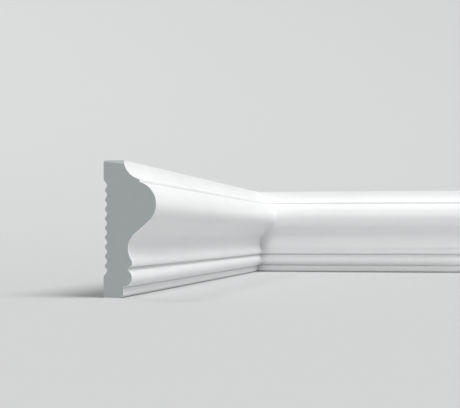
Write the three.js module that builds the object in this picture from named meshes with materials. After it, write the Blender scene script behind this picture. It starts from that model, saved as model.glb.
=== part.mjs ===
// Wall moulding in two lengths of one profile, mitred together in the inside corner of a room.
//
// Millimetres, +Z up. The left length runs along Y and the right length along X. Each has its
// ribbed back to its wall and stands on its flat underside. The profile is drawn in two
// directions: depth, out from the wall, and level, up from the underside. Its members are
// stacked from the foot to the top edge, so the height of one moves all those above it.

import * as THREE from 'three';

// Lengths along the walls, from the corner of the room to the square cut end
const LEFT_LENGTH = 570;
const RIGHT_LENGTH = 250;

// Gap between the two faces of the mitre, square to the joint
const MITRE_GAP = 0.3;

// Foot: the plain band at the bottom, its front edge rounded below and a fillet above
const FOOT_HEIGHT = 7.3;
const FOOT_DEPTH = 13.3;
const FOOT_ROUNDING = 2.7;
const FOOT_FILLET = 0.6;

// Bead: a round stave above the foot, which it overhangs a little
const BEAD_HEIGHT = 10.9;
const BEAD_RADIUS = 6.1;
const BEAD_OVERHANG = 1.3;

// Quirk: the sharp groove between the bead and the lip
const QUIRK_DEPTH = 16.4;

// Lip: the rounded edge below the hollow, with a short sloping underside
const LIP_HEIGHT = 6.4;
const LIP_RADIUS = 3.5;
const LIP_SLOPE_HEIGHT = 2.3;
const LIP_SLOPE_REACH = 1.8;

// Hollow: the concave half of the large double curve, drop measured from its deepest line
const HOLLOW_DROP = 7.6;
const HOLLOW_DEPTH = 16.45;
const HOLLOW_RADIUS = 13;

// Ovolo: the convex half, whose nose stands out furthest, its rise measured from the hollow
const OVOLO_RISE = 29.02;
const OVOLO_DEPTH = 35.3;
const OVOLO_RADIUS = 15;

// Step: the small upright face between the ovolo and the cove
const STEP_HEIGHT = 1.8;
const STEP_DEPTH = 24.2;

// Cove: the concave member under the top edge
const COVE_HEIGHT = 12.5;
const COVE_RADIUS = 13.7;
const TOP_DEPTH = 13.5;

// Back: a flat land at the bottom and the top, with V grooves for the adhesive between them
const LOWER_LAND = 13.4;
const UPPER_LAND = 12;
const GROOVE_PITCH = 6.18;
const GROOVE_DEPTH = 2.53;
const RIB_SETBACK = 0.75;
const GROOVE_ROUNDING = 1.1;

// Number of facets in a full circle, on the large members and on the fine ribs
const MEMBER_FACETS = 64;
const RIB_FACETS = 24;

const point = (depth, level) => new THREE.Vector2(depth, level);

// Points of an arc about a centre, from one of its points to another, turning the short way
function arc(centre, start, end, facets) {
  const from = start.clone().sub(centre);
  const to = end.clone().sub(centre);
  const turn = Math.atan2(from.cross(to), from.dot(to));
  const steps = Math.max(2, Math.ceil((Math.abs(turn) / (2 * Math.PI)) * facets));
  const points = [];
  for (let i = 0; i <= steps; i += 1) {
    points.push(start.clone().rotateAround(centre, (turn * i) / steps));
  }
  return points;
}

// Arc of a radius between two points, bulging to the right of the way from start to end.
// A radius too small to span them becomes a half circle.
function bulge(start, end, radius, facets) {
  const chord = end.clone().sub(start);
  const half = chord.length() / 2;
  const inset = Math.sqrt(Math.max(0, radius * radius - half * half));
  const left = point(-chord.y, chord.x).setLength(inset);
  const centre = start.clone().add(end).multiplyScalar(0.5).add(left);
  return arc(centre, start, end, facets);
}

// The same arc, bulging to the left
function dip(start, end, radius, facets) {
  return bulge(end, start, radius, facets).reverse();
}

// A corner between two straight sides, rounded no further than the middle of the shorter side
function rounded(before, corner, after, radius, facets) {
  const back = before.clone().sub(corner);
  const ahead = after.clone().sub(corner);
  const opening = Math.abs(Math.atan2(back.cross(ahead), back.dot(ahead)));
  const longest = Math.min(back.length(), ahead.length()) / 2;
  const setback = Math.min(radius / Math.tan(opening / 2), longest);
  const start = corner.clone().add(back.setLength(setback));
  const end = corner.clone().add(ahead.setLength(setback));
  const middle = start.clone().add(end).multiplyScalar(0.5);
  const toCentre = setback / Math.cos(opening / 2);
  const centre = middle.sub(corner).setLength(toCentre).add(corner);
  return arc(centre, start, end, facets);
}

// Level where each member of the front begins, and of the top edge
function memberLevels() {
  const quirk = FOOT_HEIGHT + BEAD_HEIGHT;
  const lipTop = quirk + LIP_HEIGHT;
  const hollow = lipTop + HOLLOW_DROP;
  const nose = hollow + OVOLO_RISE;
  const stepReach = STEP_DEPTH - (OVOLO_DEPTH - OVOLO_RADIUS);
  const ovoloTop = nose + Math.sqrt(Math.max(0, OVOLO_RADIUS ** 2 - stepReach ** 2));
  const stepTop = ovoloTop + STEP_HEIGHT;
  return { quirk, lipTop, hollow, nose, ovoloTop, stepTop, top: stepTop + COVE_HEIGHT };
}

// Ends of the straight stretch that touches the ovolo's circle and the hollow's circle
function sharedTangent(ovoloCentre, hollowCentre) {
  const across = hollowCentre.clone().sub(ovoloCentre);
  const cosine = Math.min(1, (OVOLO_RADIUS + HOLLOW_RADIUS) / across.length());
  const normal = across.normalize().rotateAround(point(0, 0), Math.acos(cosine));
  return {
    onOvolo: ovoloCentre.clone().addScaledVector(normal, OVOLO_RADIUS),
    onHollow: hollowCentre.clone().addScaledVector(normal, -HOLLOW_RADIUS),
  };
}

// Foot and bead, from the bottom front edge up to the quirk
function lowerMembers(level) {
  const footEdge = point(FOOT_DEPTH, 0);
  const footTop = point(FOOT_DEPTH, FOOT_HEIGHT);
  const beadStart = point(FOOT_DEPTH + BEAD_OVERHANG, FOOT_HEIGHT);
  const quirk = point(QUIRK_DEPTH, level.quirk);
  return [
    ...rounded(point(0, 0), footEdge, footTop, FOOT_ROUNDING, MEMBER_FACETS),
    ...rounded(footEdge, footTop, beadStart, FOOT_FILLET, RIB_FACETS),
    ...bulge(beadStart, quirk, BEAD_RADIUS, MEMBER_FACETS),
  ];
}

// Lip, hollow and ovolo, from the quirk up to the step
function doubleCurve(level) {
  const hollowCentre = point(HOLLOW_DEPTH + HOLLOW_RADIUS, level.hollow);
  const ovoloCentre = point(OVOLO_DEPTH - OVOLO_RADIUS, level.nose);
  const spring = Math.sqrt(Math.max(0, HOLLOW_RADIUS ** 2 - HOLLOW_DROP ** 2));
  const hollowFoot = point(hollowCentre.x - spring, level.lipTop);
  const lipStart = point(QUIRK_DEPTH + LIP_SLOPE_REACH, level.quirk + LIP_SLOPE_HEIGHT);
  const tangent = sharedTangent(ovoloCentre, hollowCentre);
  const nose = point(OVOLO_DEPTH, level.nose);
  const ovoloTop = point(STEP_DEPTH, level.ovoloTop);
  return [
    ...bulge(lipStart, hollowFoot, LIP_RADIUS, MEMBER_FACETS),
    ...arc(hollowCentre, hollowFoot, tangent.onHollow, MEMBER_FACETS).slice(1),
    ...arc(ovoloCentre, tangent.onOvolo, nose, MEMBER_FACETS),
    ...arc(ovoloCentre, nose, ovoloTop, MEMBER_FACETS).slice(1),
  ];
}

// Cove, from the top of the step up to the top edge
function cove(level) {
  const stepTop = point(STEP_DEPTH, level.stepTop);
  return dip(stepTop, point(TOP_DEPTH, level.top), COVE_RADIUS, MEMBER_FACETS);
}

// Grooved back, from the top down to the wall edge of the underside
function groovedBack(level) {
  const flank = (GROOVE_DEPTH * GROOVE_PITCH) / (2 * (GROOVE_DEPTH - RIB_SETBACK));
  const room = level.top - UPPER_LAND - LOWER_LAND - 2 * flank;
  const grooves = Math.max(1, Math.floor(room / GROOVE_PITCH) + 1);
  const fieldTop = LOWER_LAND + 2 * flank + (grooves - 1) * GROOVE_PITCH;
  const corners = [point(0, fieldTop)];
  for (let i = 0; i < grooves; i += 1) {
    const middle = fieldTop - flank - i * GROOVE_PITCH;
    corners.push(point(GROOVE_DEPTH, middle));
    corners.push(point(RIB_SETBACK, middle - GROOVE_PITCH / 2));
  }
  corners[corners.length - 1] = point(0, LOWER_LAND);
  const points = [point(0, level.top), corners[0]];
  for (let i = 1; i < corners.length - 1; i += 1) {
    const [before, corner, after] = corners.slice(i - 1, i + 2);
    points.push(...rounded(before, corner, after, GROOVE_ROUNDING, RIB_FACETS));
  }
  points.push(point(0, LOWER_LAND));
  return points;
}

// The whole profile as one closed outline, going round with the wall on its left side
function profile() {
  const level = memberLevels();
  return new THREE.Shape([
    point(0, 0),
    ...lowerMembers(level),
    ...doubleCurve(level),
    ...cove(level),
    ...groovedBack(level),
  ]);
}

// A length of the moulding whose two ends are given as distances that may vary with the depth
function mouldingLength(name, startAt, endAt) {
  const geometry = new THREE.ExtrudeGeometry(profile(), { depth: 1, bevelEnabled: false });
  const corners = geometry.attributes.position;
  for (let i = 0; i < corners.count; i += 1) {
    const endAtDepth = corners.getZ(i) < 0.5 ? startAt : endAt;
    corners.setZ(i, endAtDepth(corners.getX(i)));
  }
  geometry.computeVertexNormals();
  const primer = new THREE.MeshStandardMaterial({ color: 0xececea, roughness: 0.42, metalness: 0 });
  const mesh = new THREE.Mesh(geometry, primer);
  mesh.name = name;
  mesh.rotation.x = Math.PI / 2;
  return mesh;
}

// Each length is cut back along itself by half the gap, measured square to the joint
const MITRE_CUTBACK = (MITRE_GAP / 2) * Math.SQRT2;

// Left length: from the mitre towards -Y, depth along +X
function leftLength() {
  return mouldingLength('left_length', (depth) => depth + MITRE_CUTBACK, () => LEFT_LENGTH);
}

// Right length: from its square end at +X back to the mitre, depth along -Y
function rightLength() {
  const wall = new THREE.Group();
  wall.position.x = RIGHT_LENGTH;
  wall.rotation.z = -Math.PI / 2;
  const mitreAt = (depth) => RIGHT_LENGTH - depth - MITRE_CUTBACK;
  wall.add(mouldingLength('right_length', () => 0, mitreAt));
  return wall;
}

const moulding = new THREE.Group();
moulding.name = 'wall_moulding';
moulding.position.set(-RIGHT_LENGTH / 2, LEFT_LENGTH / 2, 0);
moulding.add(leftLength(), rightLength());

export default moulding;
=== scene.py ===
"""Two mitred lengths of a wall moulding with their finishes, and a stage, lights and a camera.

Metres, +Z up. The moulding stands on its underside at Z = 0. Each length starts as a closed
outline in two directions, depth out from its wall and level up from the underside. It is drawn
out along its wall, cut square at one end and mitred at the corner of the room.
"""

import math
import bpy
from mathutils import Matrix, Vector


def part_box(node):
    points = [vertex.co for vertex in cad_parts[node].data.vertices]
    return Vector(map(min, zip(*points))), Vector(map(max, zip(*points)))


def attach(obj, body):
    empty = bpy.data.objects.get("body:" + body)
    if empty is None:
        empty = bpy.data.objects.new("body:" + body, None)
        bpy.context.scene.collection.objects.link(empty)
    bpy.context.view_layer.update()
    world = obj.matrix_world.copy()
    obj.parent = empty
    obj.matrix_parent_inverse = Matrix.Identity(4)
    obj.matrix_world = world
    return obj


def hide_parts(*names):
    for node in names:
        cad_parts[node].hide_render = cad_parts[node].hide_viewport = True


bl_info = {
    "name": "Mitred wall moulding",
    "version": (1, 0, 0),
    "blender": (4, 5, 0),
    "location": "View3D > Sidebar > Moulding",
    "description": "Builds two mitred lengths of a wall moulding, with their finishes and a stage",
    "category": "Object",
}

import bmesh
import bpy
from bpy.props import FloatProperty, FloatVectorProperty, PointerProperty
from mathutils import Color, Matrix, Vector

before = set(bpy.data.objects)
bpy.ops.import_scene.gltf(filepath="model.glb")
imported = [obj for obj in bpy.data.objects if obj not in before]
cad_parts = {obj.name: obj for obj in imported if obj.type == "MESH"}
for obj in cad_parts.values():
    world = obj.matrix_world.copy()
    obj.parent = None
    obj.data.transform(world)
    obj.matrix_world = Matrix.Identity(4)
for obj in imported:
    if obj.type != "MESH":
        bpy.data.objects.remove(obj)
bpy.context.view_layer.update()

LEFT_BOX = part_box("left_length")
RIGHT_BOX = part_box("right_length")

# Corner of the room, how far each length runs from there, and the level of the flat top
ROOM_CORNER = Vector((LEFT_BOX[0].x, RIGHT_BOX[1].y, 0))
LEFT_RUN = ROOM_CORNER.y - LEFT_BOX[0].y
RIGHT_RUN = RIGHT_BOX[1].x - ROOM_CORNER.x
TOP_LEVEL = LEFT_BOX[1].z

TO_THE_RIGHT = Vector((1, 0, 0))
TOWARDS_VIEWER = Vector((0, -1, 0))
UPWARDS = Vector((0, 0, 1))

# Size of the photo in pixels
PHOTO_WIDTH = 460
PHOTO_HEIGHT = 408


# Properties


def size(name, description, default):
    """A length in metres that a user can change."""
    return FloatProperty(
        name=name, description=description, default=default, min=0, unit="LENGTH", precision=5
    )


def share(name, description, default, top=1.0):
    """A plain number from nought to a top value that a user can change."""
    return FloatProperty(name=name, description=description, default=default, min=0, max=top)


def count(name, description, default):
    """A number of waves or cells to the metre that a user can change."""
    return FloatProperty(name=name, description=description, default=default, min=1, max=10000)


def colour(name, description, default):
    """A colour that a user can change."""
    return FloatVectorProperty(
        name=name, description=description, default=default, size=3, min=0, max=1, subtype="COLOR"
    )


class ProfileSizes(bpy.types.PropertyGroup):
    """Sizes of the members of the profile, from the foot up, and of its grooved back."""

    foot_height: size("Foot height", "Height of the plain band at the bottom", 0.0073)
    foot_depth: size("Foot depth", "Distance of the foot's face from the wall", 0.0133)
    foot_rounding: size("Foot rounding", "Radius of the bottom front edge", 0.0027)
    foot_fillet: size("Foot fillet", "Radius of the corner between foot and bead", 0.00025)
    bead_height: size("Bead height", "Height of the round stave above the foot", 0.0109)
    bead_radius: size("Bead radius", "Radius of the round stave", 0.0061)
    bead_overhang: size("Bead overhang", "How far the bead starts in front of the foot", 0.0013)
    quirk_depth: size("Quirk depth", "Distance of the sharp groove from the wall", 0.0164)
    fillet_height: size("Fillet height", "Height of the small upright face in the quirk", 0.0017)
    fillet_reach: size("Fillet reach", "How far the small upright face leans out", 0.0005)
    lip_height: size("Lip height", "Height from the quirk to the start of the hollow", 0.0064)
    lip_slope_height: size("Lip slope height", "Height of the lip's start above the quirk", 0.00238)
    lip_slope_reach: size("Lip slope reach", "Depth of the lip's start from the quirk", 0.0019)
    lip_edge_height: size("Lip edge height", "Height of the lip's rounded lower edge", 0.00137)
    lip_edge_reach: size("Lip edge reach", "Depth of the lip's rounded lower edge", 0.00087)
    lip_edge_radius: size("Lip edge radius", "Radius of the lip's lower edge", 0.0014)
    lip_radius: size("Lip radius", "Radius of the lip's face below the hollow", 0.008)
    hollow_drop: size("Hollow drop", "Height from the lip to the hollow's deepest line", 0.0076)
    hollow_depth: size("Hollow depth", "Distance of the deepest line from the wall", 0.01645)
    hollow_radius: size("Hollow radius", "Radius of the concave half of the double curve", 0.013)
    ovolo_rise: size("Ovolo rise", "Height from the hollow's deepest line to the nose", 0.02902)
    ovolo_depth: size("Ovolo depth", "Distance of the nose from the wall", 0.0353)
    ovolo_radius: size("Ovolo radius", "Radius of the convex half of the double curve", 0.015)
    step_height: size("Step height", "Height of the small upright face above the ovolo", 0.0018)
    step_depth: size("Step depth", "Distance of the step's face from the wall", 0.0242)
    cove_radius: size("Cove radius", "Radius of the concave member under the top edge", 0.0137)
    top_depth: size("Top depth", "Depth of the flat top", 0.0135)
    lower_land: size("Lower land", "Height of the flat at the bottom of the back", 0.01386)
    upper_land: size("Upper land", "Least height of the flat at the top of the back", 0.012)
    groove_pitch: size("Groove pitch", "Distance from one groove to the next", 0.00618)
    groove_depth: size("Groove depth", "Depth of the grooves before rounding", 0.0027)
    rib_setback: size("Rib setback", "Distance of the ribs from the wall before rounding", 0.00058)
    groove_rounding: size("Groove rounding", "Radius of grooves and ribs", 0.0016)
    arris: size("Arris", "Radius of the edges that are cast crisp", 0.0003)


class CutSizes(bpy.types.PropertyGroup):
    """Sizes of the sawn ends and of the joint."""

    joint_gap: size("Joint gap", "Width of the hairline at the mitre", 0.000012)
    coat: size("Coat", "Thickness of the primer where a cut shows it", 0.0001)
    eased: size("Eased edge", "How far the edge of a square cut is rubbed back", 0.00008)
    sanded_back: size("Sanded back", "Height of the sanded top edge at the wall", 0.0009)
    sanded_front: size("Sanded front", "Height of the sanded top edge in front", 0.0024)
    sanded_run: size("Sanded run", "How far the sanded top edge runs back", 0.0007)
    ring_spacing: size("Ring spacing", "Distance between the rings of the mesh", 0.012)


class Finishes(bpy.types.PropertyGroup):
    """Colours and roughness of the surfaces, and how dark the painted shade in tight corners and
    grooves is.
    """

    primer: colour("Primer", "White coat on the face, top and underside", (0.87, 0.876, 0.877))
    primer_shade: colour("Primer shade", "Colour of the thinner patches", (0.836, 0.845, 0.847))
    # Painted shade: colour of the painted shadow lines in the tight inside corners of the face
    painted_corner_shade: colour("Painted corner shade", "Primer in the tight inside corners", (0.5, 0.51, 0.51))
    # Painted shade: how dark the painted shadow under the bead is, on each length's foot
    left_foot_shadow: share("Left foot line", "How thin the primer is above the left foot", 0.95)
    right_foot_shadow: share("Right foot line", "How thin the primer is above the right foot", 0.1)
    primer_roughness: share("Primer roughness", "Roughness of the satin coat", 0.42)
    core: colour("Core", "Dense foamed core on the cut ends", (0.378, 0.405, 0.406))
    # Also the colour of the painted shade in the grooves of the back
    pore_and_groove_shade: colour("Core pore", "Open cells of the core", (0.257, 0.277, 0.278))
    back_streak: colour("Back streak", "Paler lines drawn along the raw back", (0.42, 0.445, 0.445))
    core_roughness: share("Core roughness", "Roughness of the dull core", 0.78)
    # Painted shade: how dark the grooves of the back get towards their bottom
    groove_shade: share("Groove tint", "How far the grooves of the back darken", 0.75)
    floor: colour("Floor", "Plain pale floor", (0.55, 0.553, 0.556))


class Patterns(bpy.types.PropertyGroup):
    """Patterns of the finishes: how many there are to the metre, and how far they show."""

    primer_patches: count("Primer patches", "Patches where the coat is thinner", 14)
    primer_gloss: count("Primer gloss", "Spots of more or less gloss on the coat", 260)
    primer_gloss_spread: share("Primer gloss spread", "How far the coat varies in roughness", 0.04)
    primer_lines: count("Primer lines", "Fine lines along the coat", 420)
    primer_stretch: share("Primer stretch", "Rate of the lines along the run to across it", 0.01)
    primer_line_relief: share("Primer line relief", "Share of the lines in the relief", 0.35)
    primer_peel: count("Primer peel", "Orange peel of the sprayed coat", 900)
    primer_peel_relief: share("Primer peel relief", "Share of the peel in the relief", 0.65)
    primer_relief: size("Primer relief", "Depth of the relief of the coat", 0.00002)
    core_cells: count("Core cells", "Cells of the foam on a cut", 2600)
    core_openness: share("Core openness", "How far a cell is open on a cut", 0.3)
    core_gloss: count("Core gloss", "Spots of more or less gloss on a cut", 500)
    core_gloss_spread: share("Core gloss spread", "How far a cut varies in roughness", 0.06)
    core_relief: size("Core relief", "Depth of the cells on a cut", 0.00006)
    back_cells: count("Back cells", "Cells of the foam on the raw back", 1500)
    back_openness: share("Back openness", "How far a cell is open on the raw back", 0.22)
    back_streaks: count("Back streaks", "Paler streaks along the raw back", 240)
    back_streak_least: share("Back streak least", "Paleness between the streaks", 0.3)
    back_streak_most: share("Back streak most", "Paleness of the streaks", 0.7)
    back_lines: count("Back lines", "Fine lines along the raw back", 900)
    back_line_relief: share("Back line relief", "Share of the lines in the relief", 0.3)
    back_stretch: share("Back stretch", "Rate of the lines along the run to across it", 0.006)
    back_gloss: count("Back gloss", "Lines of more or less gloss on the raw back", 300)
    back_gloss_spread: share("Back gloss spread", "How far the raw back is smoother in lines", 0.22)
    back_relief: size("Back relief", "Depth of the relief of the raw back", 0.00005)
    groove_dark_start: size("Groove dark start", "Depth where a groove starts to darken", 0.0005)
    groove_dark_end: size("Groove dark end", "Distance from its bottom where it is darkest", 0.0006)
    overspray_top: size("Overspray top", "Reach of stray primer at the top", 0.0034)
    overspray_bottom: size("Overspray bottom", "Reach of stray primer at the bottom", 0.0026)
    overspray_specks: count("Overspray specks", "Specks along the edge of stray primer", 700)
    overspray_speck_reach: size("Overspray speck reach", "How far specks shift the edge", 0.0004)
    overspray_waves: count("Overspray waves", "Waves along the edge of stray primer", 9)
    overspray_wave_reach: size("Overspray wave reach", "How far waves shift the edge", 0.0005)


class StudioLight(bpy.types.PropertyGroup):
    """Strength of the soft lights."""

    key: share("Key", "Strength of the wide key light from the right in front", 2.6, 100)
    fill: share("Fill", "Strength of the low light in front", 0.69, 100)
    rake: share("Rake", "Strength of the light from behind, which shows the ribs", 0.42, 100)
    sky_low: share("Low sky", "Strength of the soft light from all round", 0.5, 10)
    sky_high: share("High sky", "Strength of the soft light from overhead", 0.12, 10)


# Outline of the profile


class OutlinePen:
    """Draws a closed outline as edges in the XZ plane, X for depth and Z for level."""

    def __init__(self, bm, start, facet_turn):
        self.bm = bm
        self.first = self.tip = bm.verts.new((start.x, 0, start.y))
        self.facet_turn = facet_turn
        self.corners = []

    def line(self, end, rounding=0.0):
        """Draws a straight edge to a point, whose corner may be rounded afterwards."""
        drawn = bmesh.ops.extrude_vert_indiv(self.bm, verts=[self.tip])
        self.tip = drawn["verts"][0]
        self.tip.co = (end.x, 0, end.y)
        if rounding:
            self.corners.append((self.tip, rounding))

    def arc(self, centre, end):
        """Draws an arc about a centre, turning the short way to the direction of a point."""
        start = Vector((self.tip.co.x, self.tip.co.z)) - centre
        finish = end - centre
        turn = math.atan2(start.cross(finish), start.dot(finish))
        drawn = bmesh.ops.spin(
            self.bm,
            geom=[self.tip],
            cent=(centre.x, 0, centre.y),
            axis=(0, -1, 0),
            dvec=(0, 0, 0),
            angle=turn,
            steps=max(2, math.ceil(abs(turn) / self.facet_turn)),
            use_merge=False,
            use_duplicate=False,
        )
        self.tip = next(v for v in drawn["geom_last"] if isinstance(v, bmesh.types.BMVert))

    def close(self, facets):
        """Joins the end of the outline to its start, and rounds the corners that ask for it."""
        self.bm.edges.new((self.tip, self.first))
        for vert, radius in self.corners:
            round_corner(self.bm, vert, radius, facets)


def round_corner(bm, vert, radius, facets):
    """Rounds a corner of the outline to a radius."""
    sides = [edge.other_vert(vert).co - vert.co for edge in vert.link_edges]
    turn = math.pi - sides[0].angle(sides[1])
    bmesh.ops.bevel(
        bm,
        geom=[vert],
        offset=radius * math.tan(turn / 2),
        offset_type="OFFSET",
        segments=facets,
        profile=0.5,
        affect="VERTICES",
        clamp_overlap=False,
        material=-1,
    )


def bulge_centre(start, end, radius):
    """Centre of an arc between two points that bulges to the right of the way between them."""
    chord = end - start
    half = chord.length / 2
    inset = math.sqrt(max(0, radius * radius - half * half))
    left = Vector((-chord.y, chord.x)).normalized()
    return (start + end) / 2 + left * inset


def shared_tangent(sizes, ovolo_centre, hollow_centre):
    """Ends of the straight stretch that touches the ovolo's circle and the hollow's circle."""
    across = hollow_centre - ovolo_centre
    cosine = min(1, (sizes.ovolo_radius + sizes.hollow_radius) / across.length)
    normal = Matrix.Rotation(math.acos(cosine), 2) @ across.normalized()
    on_ovolo = ovolo_centre + normal * sizes.ovolo_radius
    on_hollow = hollow_centre - normal * sizes.hollow_radius
    return on_ovolo, on_hollow


def draw_foot_and_bead(pen, sizes):
    """Underside, foot and bead, up to the quirk."""
    bead_start = Vector((sizes.foot_depth + sizes.bead_overhang, sizes.foot_height))
    quirk = Vector((sizes.quirk_depth, sizes.foot_height + sizes.bead_height))
    pen.line(Vector((sizes.foot_depth, 0)), sizes.foot_rounding)
    pen.line(Vector((sizes.foot_depth, sizes.foot_height)), sizes.foot_fillet)
    pen.line(bead_start)
    pen.arc(bulge_centre(bead_start, quirk, sizes.bead_radius), quirk)
    return quirk


def draw_double_curve(pen, sizes, quirk):
    """Lip, hollow and ovolo, up to the foot of the step."""
    fillet_top = quirk + Vector((sizes.fillet_reach, sizes.fillet_height))
    lip_start = quirk + Vector((sizes.lip_slope_reach, sizes.lip_slope_height))
    lip_face = lip_start + Vector((sizes.lip_edge_reach, sizes.lip_edge_height))
    hollow_level = quirk.y + sizes.lip_height + sizes.hollow_drop
    hollow_centre = Vector((sizes.hollow_depth + sizes.hollow_radius, hollow_level))
    spring = math.sqrt(max(0, sizes.hollow_radius**2 - sizes.hollow_drop**2))
    hollow_foot = hollow_centre - Vector((spring, sizes.hollow_drop))
    nose_level = hollow_level + sizes.ovolo_rise
    ovolo_centre = Vector((sizes.ovolo_depth - sizes.ovolo_radius, nose_level))
    step_reach = sizes.step_depth - ovolo_centre.x
    crown = math.sqrt(max(0, sizes.ovolo_radius**2 - step_reach**2))
    on_ovolo, on_hollow = shared_tangent(sizes, ovolo_centre, hollow_centre)
    step_foot = ovolo_centre + Vector((step_reach, crown))
    pen.line(fillet_top)
    pen.line(lip_start)
    pen.arc(bulge_centre(lip_start, lip_face, sizes.lip_edge_radius), lip_face)
    pen.arc(bulge_centre(lip_face, hollow_foot, sizes.lip_radius), hollow_foot)
    pen.arc(hollow_centre, on_hollow)
    pen.line(on_ovolo)
    pen.arc(ovolo_centre, Vector((sizes.ovolo_depth, nose_level)))
    pen.arc(ovolo_centre, step_foot)
    return step_foot


def draw_step_and_cove(pen, sizes, step_foot):
    """Step, cove and flat top."""
    step_top = step_foot + Vector((0, sizes.step_height))
    top_edge = Vector((sizes.top_depth, TOP_LEVEL))
    pen.line(step_top, sizes.arris)
    pen.arc(bulge_centre(top_edge, step_top, sizes.cove_radius), top_edge)
    pen.corners.append((pen.tip, sizes.arris))
    pen.line(Vector((0, TOP_LEVEL)), sizes.arris)


def draw_grooved_back(pen, sizes):
    """Flat land at the top, rounded V grooves and ribs, and the flat land at the bottom."""
    rib_height = sizes.groove_depth - sizes.rib_setback
    flank = sizes.groove_depth * sizes.groove_pitch / (2 * rib_height)
    room = TOP_LEVEL - sizes.upper_land - sizes.lower_land - 2 * flank
    grooves = max(1, math.floor(room / sizes.groove_pitch) + 1)
    field_top = sizes.lower_land + 2 * flank + (grooves - 1) * sizes.groove_pitch
    pen.line(Vector((0, field_top)))
    for i in range(grooves):
        middle = field_top - flank - i * sizes.groove_pitch
        pen.line(Vector((sizes.groove_depth, middle)), sizes.groove_rounding)
        if i < grooves - 1:
            crest = Vector((sizes.rib_setback, middle - sizes.groove_pitch / 2))
            pen.line(crest, sizes.groove_rounding)
    pen.line(Vector((0, sizes.lower_land)))


def draw_profile(bm, sizes):
    """The whole outline, round from the wall edge of the underside and back to it."""
    facet_turn = math.radians(3)
    corner_facets = 6
    pen = OutlinePen(bm, Vector((0, 0)), facet_turn)
    pen.corners.append((pen.first, sizes.arris))
    quirk = draw_foot_and_bead(pen, sizes)
    step_foot = draw_double_curve(pen, sizes, quirk)
    draw_step_and_cove(pen, sizes, step_foot)
    draw_grooved_back(pen, sizes)
    pen.close(corner_facets)


# Lengths of moulding

PRIMER_FACES = 0
CORE_FACES = 1
BACK_FACES = 2


def as_object(bm, name):
    """Turns a finished bmesh into an object of the scene."""
    mesh = bpy.data.meshes.new(name)
    bm.to_mesh(mesh)
    bm.free()
    made = bpy.data.objects.new(name, mesh)
    bpy.context.scene.collection.objects.link(made)
    return made


def everything(bm):
    """All the vertices, edges and faces, as an operator takes them."""
    return bm.verts[:] + bm.edges[:] + bm.faces[:]


def draw_out(bm, run, spacing):
    """Draws the outline out along Y, a little past the run at both ends, in rings."""
    overrun = 2 * spacing
    rings = math.ceil((run + 2 * overrun) / spacing)
    step = (run + 2 * overrun) / rings
    bmesh.ops.translate(bm, verts=bm.verts[:], vec=(0, -overrun, 0))
    bmesh.ops.spin(
        bm,
        geom=bm.verts[:] + bm.edges[:],
        cent=(0, 0, 0),
        axis=(0, 0, 1),
        dvec=(0, step, 0),
        angle=0,
        steps=rings,
        use_merge=False,
        use_duplicate=False,
    )


def in_order(bm):
    """A copy put in the order of its vertices, because the operators' own order varies by run."""
    bm.verts.index_update()
    verts = len(bm.verts)

    def order(part):
        corners = [vert.index for vert in part.verts]
        return min(corners) * verts + max(corners)

    bm.edges.sort(key=order)
    bm.faces.sort(key=order)
    ordered = bm.copy()
    bm.free()
    return ordered


def saw(bm, point, normal):
    """Cuts off what lies beyond a plane, and closes the cut with one face of bare core."""
    on_the_plane = 1e-7
    cut = bmesh.ops.bisect_plane(
        bm,
        geom=everything(bm),
        dist=on_the_plane,
        plane_co=point,
        plane_no=normal,
        clear_outer=True,
    )
    edges = [part for part in cut["geom_cut"] if isinstance(part, bmesh.types.BMEdge)]
    closed = bmesh.ops.contextual_create(bm, geom=edges)
    closed["faces"][0].material_index = CORE_FACES


def mark_back(bm, wall_side):
    """Gives the faces that look at the wall, flanks of grooves too, the finish of the back."""
    least_cosine = 0.7
    bm.normal_update()
    for face in bm.faces:
        if face.material_index == PRIMER_FACES and face.normal.dot(wall_side) > least_cosine:
            face.material_index = BACK_FACES


def ease_cut(bm, run_direction, sizes):
    """Rings the cuts of the square end with the thickness of the coat, and eases their edge.

    The ring is primer beside the face, and core beside the raw back.
    """
    faces = [
        face
        for face in bm.faces
        if face.material_index == CORE_FACES and face.normal.dot(run_direction) > 0
    ]
    rim = {
        vert
        for face in faces
        for edge in face.edges
        if any(other not in faces for other in edge.link_faces)
        for vert in edge.verts
    }
    inset = bmesh.ops.inset_region(
        bm, faces=faces, thickness=sizes.coat, use_even_offset=True, use_boundary=True
    )
    bmesh.ops.translate(bm, verts=list(rim), vec=run_direction * -sizes.eased)
    for ring_face in inset["faces"]:
        beside = {
            face.material_index for edge in ring_face.edges for face in edge.link_faces
        }
        ring_face.material_index = PRIMER_FACES if PRIMER_FACES in beside else CORE_FACES


def shade(bm, crease):
    """Smooths all but the cuts, with crisp edges round them and where faces meet sharply."""
    for face in bm.faces:
        face.smooth = face.material_index != CORE_FACES
    for edge in bm.edges:
        finishes = {face.material_index for face in edge.link_faces}
        gentle = edge.calc_face_angle(math.pi) < crease
        edge.smooth = gentle and finishes != {PRIMER_FACES, CORE_FACES}


def placed(run_direction, depth_direction):
    """Turns the drawing's depth and run into directions in the room, from the room's corner."""
    turned = Matrix((depth_direction, run_direction, UPWARDS)).transposed()
    return Matrix.Translation(ROOM_CORNER) @ turned.to_4x4()


def sand_top_edge(bm, end, run_direction, depth_direction):
    """Sands the top edge of the cut end, more in front than at the wall."""
    profile = bpy.context.scene.moulding_profile
    cuts = bpy.context.scene.moulding_cuts
    top = end + UPWARDS * TOP_LEVEL
    at_wall = top - UPWARDS * cuts.sanded_back
    in_front = top + depth_direction * profile.top_depth - UPWARDS * cuts.sanded_front
    behind = top - run_direction * cuts.sanded_run
    normal = (in_front - at_wall).cross(behind - at_wall).normalized()
    if normal.z < 0:
        normal.negate()
    saw(bm, at_wall, normal)


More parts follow.
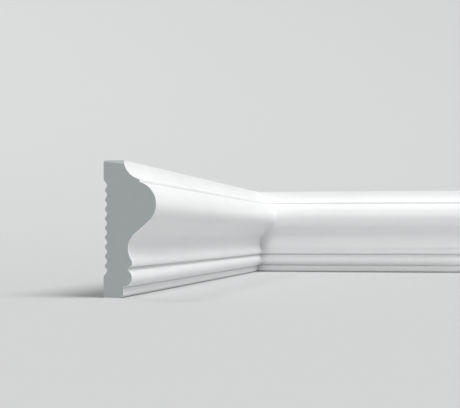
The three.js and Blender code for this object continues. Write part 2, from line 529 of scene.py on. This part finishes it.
def moulding_length(name, run, run_direction, depth_direction, sanded):
    """One length: drawn out along its wall, mitred at the corner and sawn square at its end."""
    cuts = bpy.context.scene.moulding_cuts
    bm = bmesh.new()
    draw_profile(bm, bpy.context.scene.moulding_profile)
    draw_out(bm, run, cuts.ring_spacing)
    bm = in_order(bm)
    bmesh.ops.transform(bm, matrix=placed(run_direction, depth_direction), verts=bm.verts[:])
    bmesh.ops.recalc_face_normals(bm, faces=bm.faces[:])
    joint = (depth_direction - run_direction).normalized()
    saw(bm, ROOM_CORNER - joint * cuts.joint_gap / 2, joint)
    end = ROOM_CORNER + run_direction * run
    saw(bm, end, run_direction)
    if sanded:
        bm = in_order(bm)
        sand_top_edge(bm, end, run_direction, depth_direction)
    bmesh.ops.recalc_face_normals(bm, faces=bm.faces[:])
    mark_back(bm, -depth_direction)
    ease_cut(bm, run_direction, cuts)
    bmesh.ops.recalc_face_normals(bm, faces=bm.faces[:])
    shade(bm, crease=math.radians(28))
    return as_object(bm, name)


# Finishes

# Size of a cell of the node editor's grid, and the column of the shaders in it
COLUMN_WIDTH = 200
ROW_HEIGHT = 220
SHADER_COLUMN = 11

# Painted shade in each tight inside corner of the face, a dark line where shadow falls: how dark it
# is, how far above the corner the middle of its line lies, and half the height of the line
PAINTED_SHADE_LINES = {
    "Quirk": (1.0, 0.0013, 0.0011),
    "Foot": (0.95, -0.0008, 0.00085),
    "Step": (0.55, 0.0002, 0.00035),
}


def add_node(tree, kind, column, row, **settings):
    """Adds a node at a place in the node editor's grid, and sets its options."""
    node = tree.nodes.new(kind)
    node.location = (column * COLUMN_WIDTH, -row * ROW_HEIGHT)
    for key, value in settings.items():
        setattr(node, key, value)
    return node


def feed(tree, source, target):
    """Gives an input a link from an output, or else a plain colour, vector or number."""
    if isinstance(source, bpy.types.NodeSocket):
        tree.links.new(source, target)
    elif isinstance(source, Color):
        target.default_value = (*source, 1)
    else:
        target.default_value = source


def calculate(tree, column, row, operation, *values):
    """The result of a sum on outputs and numbers."""
    node = add_node(tree, "ShaderNodeMath", column, row, operation=operation)
    for value, target in zip(values, node.inputs):
        feed(tree, value, target)
    return node.outputs["Value"]


def map_range(tree, column, row, value, reach, result, smooth=True):
    """Turns a value's place between two values into the same place between two others."""
    kind = "SMOOTHSTEP" if smooth else "LINEAR"
    node = add_node(tree, "ShaderNodeMapRange", column, row, interpolation_type=kind)
    labels = ("Value", "From Min", "From Max", "To Min", "To Max")
    for label, source in zip(labels, (value, *reach, *result)):
        feed(tree, source, node.inputs[label])
    return node.outputs["Result"]


def blend_colours(tree, column, row, mask, low, high):
    """Mixes two colours by a mask."""
    mix = add_node(tree, "ShaderNodeMix", column, row, data_type="RGBA")
    feed(tree, mask, mix.inputs["Factor"])
    feed(tree, low, mix.inputs["A"])
    feed(tree, high, mix.inputs["B"])
    return mix.outputs["Result"]


def level_of(tree, column, row, place):
    """How high up a place is."""
    split = add_node(tree, "ShaderNodeSeparateXYZ", column, row)
    feed(tree, place, split.inputs["Vector"])
    return split.outputs["Z"]


def new_group(name, inputs, outputs):
    """A shader node group with a vector input, then number inputs, and number outputs."""
    tree = bpy.data.node_groups.new(name, "ShaderNodeTree")
    tree.interface.new_socket("Vector", in_out="INPUT", socket_type="NodeSocketVector")
    for label, default in inputs.items():
        socket = tree.interface.new_socket(label, in_out="INPUT", socket_type="NodeSocketFloat")
        socket.default_value = default
    for label in outputs:
        tree.interface.new_socket(label, in_out="OUTPUT", socket_type="NodeSocketFloat")
    given = tree.nodes.new("NodeGroupInput").outputs
    results = tree.nodes.new("NodeGroupOutput").inputs
    return tree, given, results


def grain_group(name):
    """Fine even noise between two values."""
    inputs = {"Scale": 100, "Low": 0, "High": 1}
    tree, given, results = new_group(name, inputs, ["Value"])
    noise = add_node(tree, "ShaderNodeTexNoise", 1, 0)
    noise.inputs["Detail"].default_value = 3
    noise.inputs["Roughness"].default_value = 0.55
    feed(tree, given["Vector"], noise.inputs["Vector"])
    feed(tree, given["Scale"], noise.inputs["Scale"])
    usual = (0.3, 0.7)
    wanted = (given["Low"], given["High"])
    value = map_range(tree, 2, 0, noise.outputs["Fac"], usual, wanted, smooth=False)
    feed(tree, value, results["Value"])


def cells_group(name):
    """Small open cells of a dense foam: a mask of the pores, and their height."""
    inputs = {"Scale": 2500, "Openness": 0.25}
    tree, given, results = new_group(name, inputs, ["Pores", "Height"])
    cells = add_node(tree, "ShaderNodeTexVoronoi", 1, 0, feature="F1")
    feed(tree, given["Vector"], cells.inputs["Vector"])
    feed(tree, given["Scale"], cells.inputs["Scale"])
    distance = cells.outputs["Distance"]
    pores = map_range(tree, 2, 0, distance, (0, given["Openness"]), (1, 0))
    feed(tree, pores, results["Pores"])
    feed(tree, distance, results["Height"])


def corner_levels(sizes):
    """Level of each tight inside corner of the face."""
    quirk = sizes.foot_height + sizes.bead_height
    rise = sizes.lip_height + sizes.hollow_drop + sizes.ovolo_rise
    reach = sizes.step_depth - (sizes.ovolo_depth - sizes.ovolo_radius)
    crown = math.sqrt(max(0, sizes.ovolo_radius**2 - reach**2))
    return {"Quirk": quirk, "Foot": sizes.foot_height, "Step": quirk + rise + crown}


def shade_lines_group(name):
    """Mask of painted shade, dark lines where shadow falls in the tight inside corners."""
    inputs = {corner: amount for corner, (amount, _, _) in PAINTED_SHADE_LINES.items()}
    tree, given, results = new_group(name, inputs, ["Value"])
    corners = corner_levels(bpy.context.scene.moulding_profile)
    level = level_of(tree, 1, 0, given["Vector"])
    total = 0
    for row, (corner, (_, rise, half_height)) in enumerate(PAINTED_SHADE_LINES.items()):
        above = calculate(tree, 2, row, "SUBTRACT", level, corners[corner] + rise)
        away = calculate(tree, 3, row, "ABSOLUTE", above)
        line = map_range(tree, 4, row, away, (0, half_height), (given[corner], 0))
        total = calculate(tree, 5, row, "ADD", total, line)
    feed(tree, total, results["Value"])


EFFECTS = {"Grain": grain_group, "Foam cells": cells_group, "Painted corner shade": shade_lines_group}


def use_effect(tree, name, column, row, place, **values):
    """Places a shared effect with its own values, and builds it if it isn't there yet."""
    if name not in bpy.data.node_groups:
        EFFECTS[name](name)
    group = bpy.data.node_groups[name]
    node = add_node(tree, "ShaderNodeGroup", column, row, node_tree=group)
    feed(tree, place, node.inputs["Vector"])
    for label, value in values.items():
        feed(tree, value, node.inputs[label])
    return node.outputs


def grain(tree, column, row, place, scale, low=0, high=1):
    """The shared grain between two values."""
    outputs = use_effect(tree, "Grain", column, row, place, Scale=scale, Low=low, High=high)
    return outputs["Value"]


def new_material(name):
    """A material with nodes, and its shader."""
    material = bpy.data.materials.new(name)
    material.use_nodes = True
    nodes = material.node_tree.nodes
    shader = nodes["Principled BSDF"]
    shader.location = (SHADER_COLUMN * COLUMN_WIDTH, 0)
    nodes["Material Output"].location = ((SHADER_COLUMN + 2) * COLUMN_WIDTH, 0)
    return material, shader


def own_place(tree):
    """The piece's own coordinates, in metres."""
    return add_node(tree, "ShaderNodeTexCoord", 0, 0).outputs["Object"]


def along_run(tree, column, row, place, run_direction, stretch):
    """Coordinates that change slowly along the run, for lines drawn along a length."""
    mapping = add_node(tree, "ShaderNodeMapping", column, row)
    scale = [stretch if axis else 1 for axis in run_direction]
    feed(tree, place, mapping.inputs["Vector"])
    feed(tree, scale, mapping.inputs["Scale"])
    return mapping.outputs["Vector"]


def finish_surface(tree, shader, tint, roughness, height, relief):
    """Feeds the shader a colour, a roughness, and a relief of a real depth in metres."""
    bump = add_node(tree, "ShaderNodeBump", SHADER_COLUMN - 1, 2)
    bump.inputs["Strength"].default_value = 1
    feed(tree, relief, bump.inputs["Distance"])
    feed(tree, height, bump.inputs["Height"])
    feed(tree, tint, shader.inputs["Base Color"])
    feed(tree, roughness, shader.inputs["Roughness"])
    feed(tree, bump.outputs["Normal"], shader.inputs["Normal"])


def primer_finish(name, run_direction, foot_shadow):
    """Sprayed satin primer: faint thin patches, orange peel, lines drawn along the run, painted
    shade in corners.
    """
    looks = bpy.context.scene.moulding_finishes
    patterns = bpy.context.scene.moulding_patterns
    material, shader = new_material(name)
    tree = material.node_tree
    place = own_place(tree)
    along = along_run(tree, 1, 2, place, run_direction, patterns.primer_stretch)
    patches = grain(tree, 2, 0, place, patterns.primer_patches)
    least = looks.primer_roughness - patterns.primer_gloss_spread
    most = looks.primer_roughness + patterns.primer_gloss_spread
    roughness = grain(tree, 2, 1, place, patterns.primer_gloss, least, most)
    lines = grain(tree, 2, 2, along, patterns.primer_lines, high=patterns.primer_line_relief)
    peel = grain(tree, 2, 3, place, patterns.primer_peel, high=patterns.primer_peel_relief)
    # Painted shade: darker lines where shadow falls in the tight inside corners
    thin = use_effect(tree, "Painted corner shade", 4, 1, place, Foot=foot_shadow)["Value"]
    patchy = blend_colours(tree, 4, 0, patches, looks.primer, looks.primer_shade)
    tint = blend_colours(tree, 5, 0, thin, patchy, looks.painted_corner_shade)
    height = calculate(tree, 4, 2, "ADD", lines, peel)
    finish_surface(tree, shader, tint, roughness, height, patterns.primer_relief)
    return material


def core_finish(name):
    """Sawn foamed core: fine cells with darker pores."""
    looks = bpy.context.scene.moulding_finishes
    patterns = bpy.context.scene.moulding_patterns
    material, shader = new_material(name)
    tree = material.node_tree
    place = own_place(tree)
    cells = {"Scale": patterns.core_cells, "Openness": patterns.core_openness}
    foam = use_effect(tree, "Foam cells", 2, 0, place, **cells)
    least = looks.core_roughness - patterns.core_gloss_spread
    most = looks.core_roughness + patterns.core_gloss_spread
    roughness = grain(tree, 2, 1, place, patterns.core_gloss, least, most)
    tint = blend_colours(tree, 4, 0, foam["Pores"], looks.core, looks.pore_and_groove_shade)
    finish_surface(tree, shader, tint, roughness, foam["Height"], patterns.core_relief)
    return material


def groove_shade_mask(tree, column, row, place, depth_direction):
    """A mask of painted shade in the grooves, from nought on the crests of the ribs to its full
    tint.
    """
    profile = bpy.context.scene.moulding_profile
    patterns = bpy.context.scene.moulding_patterns
    from_corner = add_node(tree, "ShaderNodeVectorMath", column, row, operation="SUBTRACT")
    feed(tree, place, from_corner.inputs[0])
    feed(tree, ROOM_CORNER, from_corner.inputs[1])
    depth = add_node(tree, "ShaderNodeVectorMath", column + 1, row, operation="DOT_PRODUCT")
    feed(tree, from_corner.outputs["Vector"], depth.inputs[0])
    feed(tree, depth_direction, depth.inputs[1])
    start = profile.rib_setback + patterns.groove_dark_start
    end = profile.groove_depth - patterns.groove_dark_end
    tint = bpy.context.scene.moulding_finishes.groove_shade
    return map_range(tree, column + 2, row, depth.outputs["Value"], (start, end), (0, tint))


def overspray_mask(tree, column, row, place):
    """A mask of stray primer at the top and the bottom of the back, with an uneven edge."""
    patterns = bpy.context.scene.moulding_patterns
    speck = patterns.overspray_speck_reach
    wave = patterns.overspray_wave_reach
    specks = grain(tree, column, row, place, patterns.overspray_specks, -speck, speck)
    waves = grain(tree, column, row + 1, place, patterns.overspray_waves, -wave, wave)
    shift = calculate(tree, column + 1, row, "ADD", specks, waves)
    level = level_of(tree, column + 1, row + 1, place)
    moved = calculate(tree, column + 2, row, "ADD", level, shift)
    top_reach = (TOP_LEVEL, TOP_LEVEL - patterns.overspray_top)
    above = map_range(tree, column + 3, row, moved, top_reach, (1, 0))
    bottom_reach = (0, patterns.overspray_bottom)
    below = map_range(tree, column + 3, row + 1, moved, bottom_reach, (1, 0))
    return calculate(tree, column + 4, row, "MAXIMUM", above, below)


def back_finish(name, run_direction, depth_direction):
    """Raw back: streaks and lines along the run, fine cells, painted shade in grooves, stray
    primer.
    """
    looks = bpy.context.scene.moulding_finishes
    patterns = bpy.context.scene.moulding_patterns
    material, shader = new_material(name)
    tree = material.node_tree
    place = own_place(tree)
    along = along_run(tree, 1, 2, place, run_direction, patterns.back_stretch)
    paleness = (patterns.back_streak_least, patterns.back_streak_most)
    streaks = grain(tree, 2, 0, along, patterns.back_streaks, *paleness)
    cells = {"Scale": patterns.back_cells, "Openness": patterns.back_openness}
    foam = use_effect(tree, "Foam cells", 2, 1, place, **cells)
    lines = grain(tree, 2, 2, along, patterns.back_lines, high=patterns.back_line_relief)
    smoothest = looks.core_roughness - patterns.back_gloss_spread
    roughness = grain(tree, 2, 5, along, patterns.back_gloss, smoothest, looks.core_roughness)
    grooves = groove_shade_mask(tree, 3, 1, place, depth_direction)
    overspray = overspray_mask(tree, 2, 3, place)
    streaked = blend_colours(tree, 4, 0, streaks, looks.core, looks.back_streak)
    pitted = blend_colours(tree, 5, 0, foam["Pores"], streaked, looks.pore_and_groove_shade)
    # Painted shade in the grooves, darker with depth
    shaded_grooves = blend_colours(tree, 7, 0, grooves, pitted, looks.pore_and_groove_shade)
    tint = blend_colours(tree, 9, 0, overspray, shaded_grooves, looks.primer_shade)
    height = calculate(tree, 5, 2, "ADD", lines, foam["Height"])
    finish_surface(tree, shader, tint, roughness, height, patterns.back_relief)
    return material


def dress(piece, side, run_direction, depth_direction, foot_shadow):
    """Gives a length its primer, its core on the cuts and its raw back."""
    piece.data.materials.append(primer_finish(f"{side}_primer", run_direction, foot_shadow))
    piece.data.materials.append(core_finish(f"{side}_core"))
    piece.data.materials.append(back_finish(f"{side}_back", run_direction, depth_direction))


def place_length(piece, node):
    """Puts a length in place of its solid."""
    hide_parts(node)
    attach(piece, "root")


# Stage


def build_floor():
    """A round pale floor that rises gently all round, so that no horizon shows."""
    flat_radius = 1.5
    sweep_radius = 8
    sweep_angle = math.radians(40)
    sweep_facet = math.radians(2)
    sectors = 96
    one_point = 1e-6
    paint_roughness = 0.9
    bm = bmesh.new()
    pen = OutlinePen(bm, Vector((0, 0)), sweep_facet)
    pen.line(Vector((flat_radius, 0)))
    sweep_centre = Vector((flat_radius, sweep_radius))
    pen.arc(sweep_centre, sweep_centre + Vector((math.sin(sweep_angle), -math.cos(sweep_angle))))
    bmesh.ops.spin(
        bm,
        geom=bm.verts[:] + bm.edges[:],
        cent=(0, 0, 0),
        axis=(0, 0, 1),
        dvec=(0, 0, 0),
        angle=2 * math.pi,
        steps=sectors,
        use_merge=True,
        use_duplicate=False,
    )
    bmesh.ops.remove_doubles(bm, verts=bm.verts[:], dist=one_point)
    for face in bm.faces:
        face.smooth = True
    floor = as_object(bm, "floor")
    material, shader = new_material("floor_paint")
    paint = bpy.context.scene.moulding_finishes.floor
    feed(material.node_tree, paint, shader.inputs["Base Color"])
    feed(material.node_tree, paint_roughness, shader.inputs["Roughness"])
    floor.data.materials.append(material)


def add_sun(name, azimuth, elevation, width, energy):
    """A soft sun. Its angles are in degrees, its azimuth turning from the front to the right."""
    lamp_distance = 2.6
    light = bpy.data.lights.new(name, "SUN")
    light.energy = energy
    light.angle = math.radians(width)
    turned = math.radians(azimuth)
    raised = math.radians(elevation)
    towards_light = Vector(
        (
            math.sin(turned) * math.cos(raised),
            -math.cos(turned) * math.cos(raised),
            math.sin(raised),
        )
    )
    lamp = bpy.data.objects.new(name, light)
    lamp.location = towards_light * lamp_distance
    lamp.rotation_euler = towards_light.to_track_quat("Z", "Y").to_euler()
    lamp.visible_camera = False
    bpy.context.scene.collection.objects.link(lamp)


def build_lights():
    """A wide key from the right in front, a low fill, a weak rake from behind and a soft sky."""
    levels = bpy.context.scene.moulding_light
    add_sun("key", azimuth=79, elevation=62, width=38, energy=levels.key)
    add_sun("fill", azimuth=9, elevation=23, width=10, energy=levels.fill)
    add_sun("rake", azimuth=228, elevation=52, width=12, energy=levels.rake)
    build_sky(levels.sky_low, levels.sky_high)
    bpy.context.scene.view_settings.view_transform = "Standard"


def build_sky(low, high):
    """A white sky, brighter all round than overhead, so that level faces keep their shape."""
    world = bpy.data.worlds.new("sky")
    world.use_nodes = True
    tree = world.node_tree
    background = tree.nodes["Background"]
    background.inputs["Color"].default_value = (1, 1, 1, 1)
    direction = add_node(tree, "ShaderNodeTexCoord", 0, 0).outputs["Generated"]
    height = level_of(tree, 1, 0, direction)
    strength = map_range(tree, 2, 0, height, (0, 1), (low, high), smooth=False)
    feed(tree, strength, background.inputs["Strength"])
    bpy.context.scene.world = world


def build_camera():
    """The photo's viewpoint: level, and turned a little to the left of the left length."""
    focal_px = 1134.4
    horizon_px = 235.35
    sensor = 36
    from_left_wall = 0.21709
    in_front_of_cut = 0.71468
    above_floor = 0.04088
    turn_left = math.radians(10.54)
    data = bpy.data.cameras.new("camera")
    data.sensor_width = sensor
    data.lens = sensor * focal_px / PHOTO_WIDTH
    data.shift_y = (horizon_px - PHOTO_HEIGHT / 2) / PHOTO_WIDTH
    data.clip_start = 0.05
    camera = bpy.data.objects.new("camera", data)
    cut_end = ROOM_CORNER.y - LEFT_RUN
    camera.location = (ROOM_CORNER.x + from_left_wall, cut_end - in_front_of_cut, above_floor)
    camera.rotation_euler = (math.pi / 2, 0, turn_left)
    bpy.context.scene.collection.objects.link(camera)
    bpy.context.scene.camera = camera


# Operators


class MOULDING_OT_left_length(bpy.types.Operator):
    """Builds the left length, with its sawn end towards the viewer"""

    bl_idname = "moulding.left_length"
    bl_label = "Left length"

    def execute(self, context):
        directions = (TOWARDS_VIEWER, TO_THE_RIGHT)
        piece = moulding_length("left_moulding", LEFT_RUN, *directions, sanded=True)
        dress(piece, "left", *directions, context.scene.moulding_finishes.left_foot_shadow)
        place_length(piece, "left_length")
        return {"FINISHED"}


class MOULDING_OT_right_length(bpy.types.Operator):
    """Builds the right length, which runs along the back wall"""

    bl_idname = "moulding.right_length"
    bl_label = "Right length"

    def execute(self, context):
        directions = (TO_THE_RIGHT, TOWARDS_VIEWER)
        piece = moulding_length("right_moulding", RIGHT_RUN, *directions, sanded=False)
        dress(piece, "right", *directions, context.scene.moulding_finishes.right_foot_shadow)
        place_length(piece, "right_length")
        return {"FINISHED"}


class MOULDING_OT_stage(bpy.types.Operator):
    """Builds the floor, the soft lights and the camera"""

    bl_idname = "moulding.stage"
    bl_label = "Stage"

    def execute(self, context):
        build_floor()
        build_lights()
        build_camera()
        return {"FINISHED"}


# Panel and registration


class MOULDING_PT_panel(bpy.types.Panel):
    """Lists the steps and the values that can be changed"""

    bl_label = "Wall moulding"
    bl_idname = "MOULDING_PT_panel"
    bl_space_type = "VIEW_3D"
    bl_region_type = "UI"
    bl_category = "Moulding"

    def draw(self, context):
        scene = context.scene
        for operator in OPERATORS:
            self.layout.operator(operator.bl_idname)
        for group in (
            scene.moulding_profile,
            scene.moulding_cuts,
            scene.moulding_finishes,
            scene.moulding_patterns,
            scene.moulding_light,
        ):
            box = self.layout.box()
            for key in group.__annotations__:
                box.prop(group, key)


OPERATORS = (MOULDING_OT_stage, MOULDING_OT_left_length, MOULDING_OT_right_length)
GROUPS = {
    "moulding_profile": ProfileSizes,
    "moulding_cuts": CutSizes,
    "moulding_finishes": Finishes,
    "moulding_patterns": Patterns,
    "moulding_light": StudioLight,
}


def register():
    """Registers the property groups, the operators and the panel."""
    for name, group in GROUPS.items():
        bpy.utils.register_class(group)
        setattr(bpy.types.Scene, name, PointerProperty(type=group))
    for operator in OPERATORS:
        bpy.utils.register_class(operator)
    bpy.utils.register_class(MOULDING_PT_panel)


def unregister():
    """Takes away what register added."""
    bpy.utils.unregister_class(MOULDING_PT_panel)
    for operator in reversed(OPERATORS):
        bpy.utils.unregister_class(operator)
    for name, group in GROUPS.items():
        delattr(bpy.types.Scene, name)
        bpy.utils.unregister_class(group)


def main():
    """Builds the whole scene."""
    register()
    bpy.ops.moulding.stage()
    bpy.ops.moulding.left_length()
    bpy.ops.moulding.right_length()


if __name__ == "__main__":
    main()
